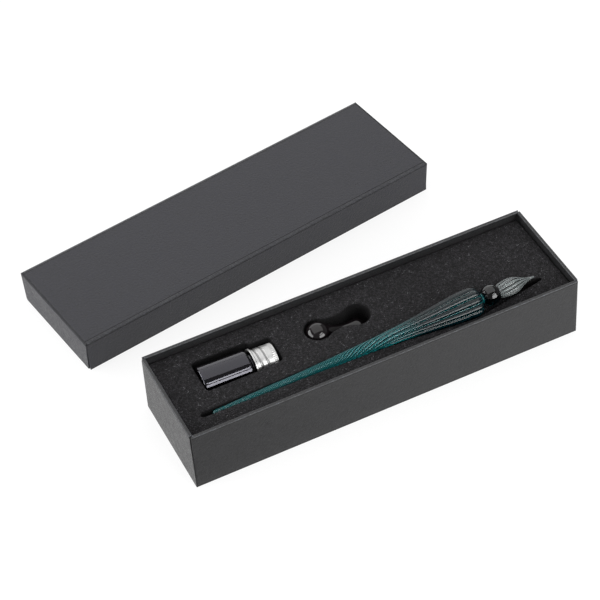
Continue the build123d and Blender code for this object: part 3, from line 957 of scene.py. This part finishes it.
# Bottle and cap, measured along the bottle from its base
BODY_RADIUS = 9.2
BODY_LENGTH = 25.9
BASE_FLAT = 4.5
BASE_ROUND = 1.0
SHOULDER_ROUND = 2.0
NECK_OUTER = 6.5
GLASS_WALL = 0.9
NECK_END = 37.57
CAP_START = 27.0
CAP_LENGTH = 12.0
CAP_RADIUS = 7.9
CAP_WALL = 0.35
CAP_FLANGE = 8.8
CAP_RIM = 1.25  # height of the flange at the cap's mouth
CAP_BEVEL = 0.45
CAP_DISH = 0.14  # how far the closed end is pressed in
KNURL_BAND = 1.7
THREAD_PITCH = 3.35
THREAD_SINK = 0.32
THREAD_RISE = 0.45  # height of the rings on the neck
RING_FOOT, RING_CREST = 0.9, 0.3  # half widths of such a ring
RING_START = 0.9  # past the cap's mouth, from where the rings are counted
INK_OVERLAP = 0.02  # the ink reaches this far into the glass, so that no gap shows
INK_DROP = 0.3  # its surface lies this far below the neck's end
SEAL_THICKNESS = 1.0


def quarter(centre, radius, first, steps=10):
    """A quarter circle of (along, radius) points, turned from first to first - 90 degrees."""
    turns = [radians(first - 90 * i / steps) for i in range(steps + 1)]
    return [(centre[0] + radius * cos(a), centre[1] + radius * sin(a)) for a in turns]


def make_bottle(looks):
    """The vial's glass, double-walled, and the ink inside it."""
    inner_wide, inner_neck = BODY_RADIUS - GLASS_WALL, NECK_OUTER - GLASS_WALL
    base = (BASE_ROUND, BODY_RADIUS - BASE_ROUND)
    shoulder = (BODY_LENGTH - SHOULDER_ROUND, BODY_RADIUS - SHOULDER_ROUND)
    outer = [(0.0, 0.0), (0.0, BASE_FLAT), *quarter(base, BASE_ROUND, 180)]
    outer += quarter(shoulder, SHOULDER_ROUND, 90, 14)
    crest = NECK_OUTER + THREAD_RISE
    ring = [(NECK_OUTER, -RING_FOOT), (crest, -RING_CREST), (crest, RING_CREST),
            (NECK_OUTER, RING_FOOT)]
    line = [outer[-1], (BODY_LENGTH, NECK_OUTER)]
    for i in range(2):
        middle = CAP_START + RING_START + THREAD_PITCH * (0.9 + i)
        line += [(middle + shift, radius) for radius, shift in ring]
    inner_end = BODY_LENGTH - GLASS_WALL
    line += [(NECK_END, NECK_OUTER), (NECK_END, inner_neck), (inner_end, inner_neck),
             (inner_end, inner_wide), (GLASS_WALL, inner_wide), (GLASS_WALL, 0.0)]
    glass = lathe("bottle_glass_wall", outer + rounded(line, 0.35, 3)[1:], 128)
    set_material(glass, glass_material(
        "bottle glass", (0.012, 0.01, 0.022), 1.6, sheen=(0.9, 0.89, 1.0)))

    wide, narrow = inner_wide + INK_OVERLAP, inner_neck + INK_OVERLAP
    low, high, top = GLASS_WALL - INK_OVERLAP, inner_end + INK_OVERLAP, NECK_END - INK_DROP
    line = [(low, 0.0), (low, wide), (high, wide), (high, narrow), (top, narrow), (top, 0.0)]
    ink = lathe("bottle_ink_fill", rounded(line, 0.5, 4), 96)
    set_material(ink, gloss_material(
        "ink", tuple(looks.ink_colour), roughness=0.05, specular=0.15, ior=1.33))
    join_world(glass, BOTTLE_PLACE, "bottle", "bottle_glass")
    join_world(ink, BOTTLE_PLACE, "bottle", "bottle_ink")


def between(low, high, along, soft):
    """1 inside a stretch, falling to 0 at its ends over a soft length."""
    return min(share((along - low) / soft), share((high - along) / soft))


def make_cap(looks):
    """The rolled aluminium cap and its seal."""
    mouth = [(0.35, 7.6), (0.0, CAP_FLANGE), (0.9, CAP_FLANGE),
             (CAP_RIM, CAP_RADIUS - THREAD_SINK + 0.02)]
    outer = rounded(mouth, 0.22, 3)
    outer[-1] = (CAP_RIM, CAP_RADIUS)
    start, end, steps = CAP_RIM + 0.05, CAP_LENGTH - 0.5, 72
    outer += [(start + (end - start) * i / steps, CAP_RADIUS) for i in range(steps + 1)]
    corner = [outer[-1], (CAP_LENGTH, CAP_RADIUS), (CAP_LENGTH, 0.0)]
    outer += rounded(corner, CAP_BEVEL, 4)[1:-1]
    dish = CAP_LENGTH - CAP_DISH
    outer += [(CAP_LENGTH - 0.02, 6.4), (CAP_LENGTH - 0.12, 6.0), (dish, 2.8), (dish, 0.0)]
    bore = CAP_RADIUS - THREAD_SINK - CAP_WALL
    roof = CAP_LENGTH - CAP_WALL - CAP_DISH
    inner = [(roof, 0.0), (roof, bore - 0.3), (roof - 0.3, bore), (0.9, bore), (0.35, bore + 0.15)]
    outside = len(outer)

    def threaded(i, along, angle):
        stretch = between(0.55, 2 * THREAD_PITCH + 0.9, along, 0.5)
        return 0.0 if i >= outside else stretch

    def knurled(i, along, angle):
        stretch = between(CAP_LENGTH - CAP_BEVEL - KNURL_BAND, CAP_LENGTH - CAP_BEVEL, along, 0.15)
        return 0.0 if i >= outside else stretch

    marks = {
        "along": lambda i, along, angle: (along - 0.14 * THREAD_PITCH) * MM,
        "thread": threaded,
        "knurl": knurled,
    }
    piece = lathe("cap_shell_metal", outer + inner + [outer[0]], looks.knurls * 8, None, marks)
    metal = metal_material(tuple(looks.metal_colour))
    run_tree(piece, rolled_cap_tree(), Knurls=looks.knurls, Material=metal)
    place = BOTTLE_PLACE @ Matrix.Translation((CAP_START * MM, 0, 0))
    join_world(piece, place, "cap", "cap_shell")

    radius, start = bore - 0.2, NECK_END + 0.04
    end = start + SEAL_THICKNESS
    line = [(start, 0.0), (start, radius), (end, radius), (end, 0.0)]
    seal = lathe("cap_seal", rounded(line, 0.15, 4), 96)
    set_material(seal, plastic_material((0.8, 0.8, 0.78)))
    join_world(seal, BOTTLE_PLACE, "cap_carrier", "cap_liner")


# Studio

FLOOR_HALF = 4.0
FLOOR_DROP = 0.00005
# name, middle, what it looks at, width and height in metres, radiance
LAMPS = [
    ("overhead", (0.15, 0.55, 1.1), (0.15, 0.55, 0.0), 2.1, 1.85, 1.0),
    ("back", (0.4, 1.55, 0.55), (0.4, 0.0, 0.55), 2.2, 1.08, 1.0),
    ("left", (-1.03, 0.28, 0.33), (0.0, 0.0, 0.03), 1.5, 0.62, 4.6),
    ("front right", (0.356, -0.881, 0.385), (0.0, 0.0, 0.385), 0.95, 0.65, 5.5),
    ("front right, above", (0.4, -0.862, 0.975), (0.0, 0.0, 0.975), 0.75, 0.26, 5.5),
]
SEEN_GLOW = 0.82  # share of the floor's light that the camera sees as its own glow
DIMMED = 0.5  # most that reflections of the floor before the tray are dimmed by
WORLD_LIGHT = 0.25


def make_floor():
    """A white floor that keeps the set's shadow."""
    signs = [(-1, -1), (1, -1), (1, 1), (-1, 1)]
    corners = [(x * FLOOR_HALF, y * FLOOR_HALF, -FLOOR_DROP) for x, y in signs]
    floor = new_piece("floor", corners, [(0, 1, 2, 3)])
    material = bpy.data.materials.new("white floor")
    work = fresh_tree(material)
    path = work.add("ShaderNodeLightPath")
    # the floor in front of the tray is dimmer towards the left, as the tray's front shows
    parts = work.split(object_place(work))
    leftward = work.spread(parts["X"], 0.14, -0.16)
    dim = work.times(leftward, work.spread(parts["Y"], -0.025, -0.035))
    dim = work.times(dim, path.outputs["Is Glossy Ray"])
    strength = work.minus(1.0, work.times(dim, DIMMED))
    seen = work.times(path.outputs["Is Camera Ray"], SEEN_GLOW)
    seen = work.calc("MAXIMUM", seen, path.outputs["Is Glossy Ray"])
    through = work.times(path.outputs["Is Transmission Ray"], SEEN_GLOW)
    seen = work.calc("MAXIMUM", seen, through)
    mixed = work.add("ShaderNodeMixShader", Fac=seen)
    matt = work.add("ShaderNodeBsdfDiffuse", Color=(0.95, 0.95, 0.95))
    work.plug(matt.outputs[0], mixed.inputs[1])
    glow = work.add("ShaderNodeEmission", Strength=strength)
    work.plug(glow.outputs[0], mixed.inputs[2])
    work.add("ShaderNodeOutputMaterial", Surface=mixed.outputs[0])
    set_material(floor, material)


def make_world(scene):
    """White to the camera, and a weak even light on the set."""
    world = bpy.data.worlds.new("studio")
    scene.world = world
    work = fresh_tree(world)
    path = work.add("ShaderNodeLightPath")
    strength = work.spread(path.outputs["Is Camera Ray"], 0, 1, WORLD_LIGHT, 1.0, smooth=False)
    sky = work.add("ShaderNodeBackground", Color=(1, 1, 1), Strength=strength)
    work.add("ShaderNodeOutputWorld", Surface=sky.outputs[0])


def make_lamps(light):
    """Five softboxes, unseen by the camera."""
    for name, middle, target, width, height, radiance in LAMPS:
        lamp = bpy.data.lights.new(name, "AREA")
        lamp.shape = "RECTANGLE"
        lamp.size, lamp.size_y = width, height
        lamp.energy = 4 * width * height * radiance * light
        holder = new_object(name, lamp)
        holder.location = middle
        aim = Vector(target) - Vector(middle)
        holder.rotation_euler = aim.to_track_quat("-Z", "Y").to_euler()
        holder.visible_camera = False


# The photograph's viewpoint, matched to the tray as a right-angled box
CAMERA_AZIMUTH, CAMERA_ELEVATION, CAMERA_ROLL = -23.46, 45.892, -4.1
CAMERA_DISTANCE, CAMERA_ACROSS, CAMERA_UPWARD = 1026.745, -31.957, 34.113
FOCAL_PIXELS, PICTURE_PIXELS, SENSOR_WIDTH = 2061.27, 600, 36


def make_camera(scene):
    """The camera, at the photograph's viewpoint."""
    a, e, g = radians(CAMERA_AZIMUTH), radians(CAMERA_ELEVATION), radians(CAMERA_ROLL)
    back = Vector((sin(a) * cos(e), -cos(a) * cos(e), sin(e)))
    right = (-back).cross(Vector((0, 0, 1))).normalized()
    up = right.cross(-back)
    across = right * cos(g) + up * sin(g)
    upward = -right * sin(g) + up * cos(g)
    eye = (back * CAMERA_DISTANCE + across * CAMERA_ACROSS + upward * CAMERA_UPWARD) * MM
    lens = bpy.data.cameras.new("photograph")
    lens.sensor_width = SENSOR_WIDTH
    lens.lens = FOCAL_PIXELS * SENSOR_WIDTH / PICTURE_PIXELS
    lens.clip_start, lens.clip_end = 0.01, 20
    camera = new_object("photograph", lens)
    turn = Matrix((across, upward, back)).transposed().to_4x4()
    camera.matrix_world = Matrix.Translation(eye) @ turn
    scene.camera = camera


# Operators

class PENSET_OT_card(bpy.types.Operator):
    """Give the card tray and lid their finish"""
    bl_idname = "penset.card"
    bl_label = "Card tray and lid"

    def execute(self, context):
        dress_card(context.scene.penset_card)
        return {"FINISHED"}


class PENSET_OT_foam(bpy.types.Operator):
    """Make the foam insert"""
    bl_idname = "penset.foam"
    bl_label = "Foam insert"

    def execute(self, context):
        make_foam(context.scene.penset_foam)
        return {"FINISHED"}


class PENSET_OT_pen(bpy.types.Operator):
    """Make the glass pen: handle, bead and nib"""
    bl_idname = "penset.pen"
    bl_label = "Glass pen"

    def execute(self, context):
        make_pen(context.scene.penset_pen)
        return {"FINISHED"}


class PENSET_OT_rest(bpy.types.Operator):
    """Make the glass pen rest"""
    bl_idname = "penset.rest"
    bl_label = "Pen rest"

    def execute(self, context):
        make_rest()
        return {"FINISHED"}


class PENSET_OT_bottle(bpy.types.Operator):
    """Make the ink bottle and the ink in it"""
    bl_idname = "penset.bottle"
    bl_label = "Ink bottle"

    def execute(self, context):
        make_bottle(context.scene.penset_bottle)
        return {"FINISHED"}


class PENSET_OT_cap(bpy.types.Operator):
    """Make the screw cap and its seal"""
    bl_idname = "penset.cap"
    bl_label = "Screw cap"

    def execute(self, context):
        make_cap(context.scene.penset_bottle)
        return {"FINISHED"}


class PENSET_OT_stage(bpy.types.Operator):
    """Set up the floor, the lamps and the camera"""
    bl_idname = "penset.stage"
    bl_label = "Studio"

    def execute(self, context):
        context.scene.view_settings.view_transform = "Standard"
        make_floor()
        make_world(context.scene)
        make_lamps(context.scene.penset_stage.light)
        make_camera(context.scene)
        return {"FINISHED"}


class PENSET_PT_panel(bpy.types.Panel):
    """Lists the pen set's pieces"""
    bl_idname = "PENSET_PT_panel"
    bl_label = "Glass dip pen set"
    bl_space_type = "VIEW_3D"
    bl_region_type = "UI"
    bl_category = "Pen Set"

    def draw(self, context):
        for operator in OPERATORS:
            self.layout.operator(operator.bl_idname)
        for key in LOOKS:
            box = self.layout.box()
            looks = getattr(context.scene, key)
            for name in looks.bl_rna.properties.keys():
                if name not in ("rna_type", "name"):
                    box.prop(looks, name)


LOOKS = {
    "penset_card": CardLooks, "penset_foam": FoamLooks, "penset_pen": PenLooks,
    "penset_bottle": BottleLooks, "penset_stage": StageLooks,
}
OPERATORS = [
    PENSET_OT_card, PENSET_OT_foam, PENSET_OT_pen, PENSET_OT_rest, PENSET_OT_bottle,
    PENSET_OT_cap, PENSET_OT_stage,
]


def register():
    for cls in [*LOOKS.values(), *OPERATORS, PENSET_PT_panel]:
        bpy.utils.register_class(cls)
    for key, cls in LOOKS.items():
        setattr(bpy.types.Scene, key, PointerProperty(type=cls))


def unregister():
    for key in LOOKS:
        delattr(bpy.types.Scene, key)
    for cls in reversed([*LOOKS.values(), *OPERATORS, PENSET_PT_panel]):
        bpy.utils.unregister_class(cls)


def main():
    register()
    for operator in OPERATORS:
        area, name = operator.bl_idname.split(".")
        getattr(getattr(bpy.ops, area), name)()


if __name__ == "__main__":
    main()
